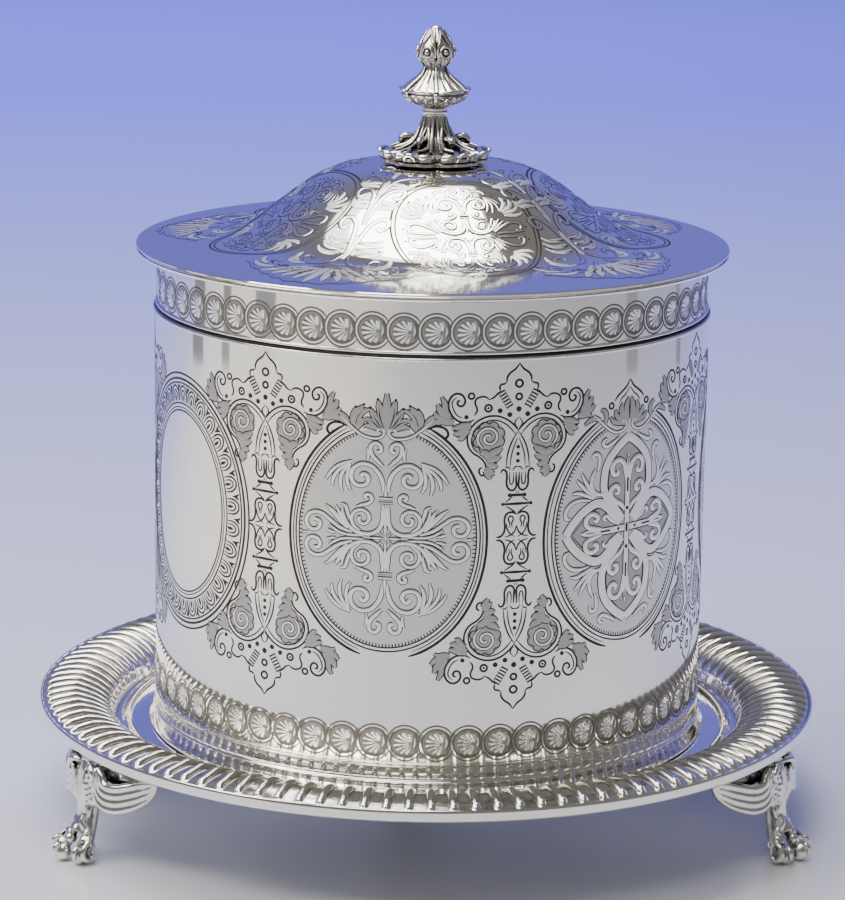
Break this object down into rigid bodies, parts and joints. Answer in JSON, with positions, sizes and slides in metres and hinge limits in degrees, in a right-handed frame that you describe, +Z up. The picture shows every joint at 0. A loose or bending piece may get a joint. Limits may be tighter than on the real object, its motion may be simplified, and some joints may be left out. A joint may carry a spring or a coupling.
{
  "type": "biscuit box",
  "caption": "Round silver-plated biscuit box with a hinged domed lid and cast finial, standing on its own gadrooned tray with lion-paw feet.",
  "frame": {"origin": "middle of the object's bounding box, on the surface that the paws stand on; the axis of the drum is 5.5 mm in front of it, because the back paw reaches past the tray", "axes": "+Z up, -Y the front of the box, +Y the side with the hinge, +X to the right as seen from the front"},
  "size_m": [0.2338, 0.2451, 0.2346],
  "materials": {
    "polished_plate": "mirror-polished silver plate with fine polishing marks",
    "engraved_plate": "mirror-polished silver plate, engraved and chased, dark in the cuts",
    "cast_plate": "cast and chased silver plate, darkened in the hollows",
    "inner_plate": "satin silver plate inside the box",
    "hinge_plate": "satin silver plate",
    "hinge_pin": "drawn wire"
  },
  "bodies": {
    "box": {"tray_pan": "polished_plate", "tray_rim_band": "polished_plate", "tray_bead_ring": "polished_plate", "foot_front_left": "cast_plate", "foot_front_right": "cast_plate", "foot_back": "cast_plate", "drum_foot_ring": "polished_plate", "drum_wall": "engraved_plate", "drum_base_plate": "inner_plate", "drum_bezel": "inner_plate", "drum_top_wire": "polished_plate", "hinge_body_leaf": "hinge_plate", "hinge_pin": "hinge_pin"},
    "lid": {"lid_dome": "engraved_plate", "lid_rim_wire": "polished_plate", "lid_skirt": "engraved_plate", "lid_lower_wire": "polished_plate", "hinge_lid_leaf": "hinge_plate", "finial": "cast_plate", "finial_washer": "inner_plate", "finial_nut": "inner_plate"}
  },
  "joints": [
    {"name": "lid_hinge", "type": "hinge", "parent": "box", "child": "lid", "pos_m": [0, 0.0802, 0.15275], "axis": [-1, 0, 0], "range_deg": [0, 100]}
  ]
}
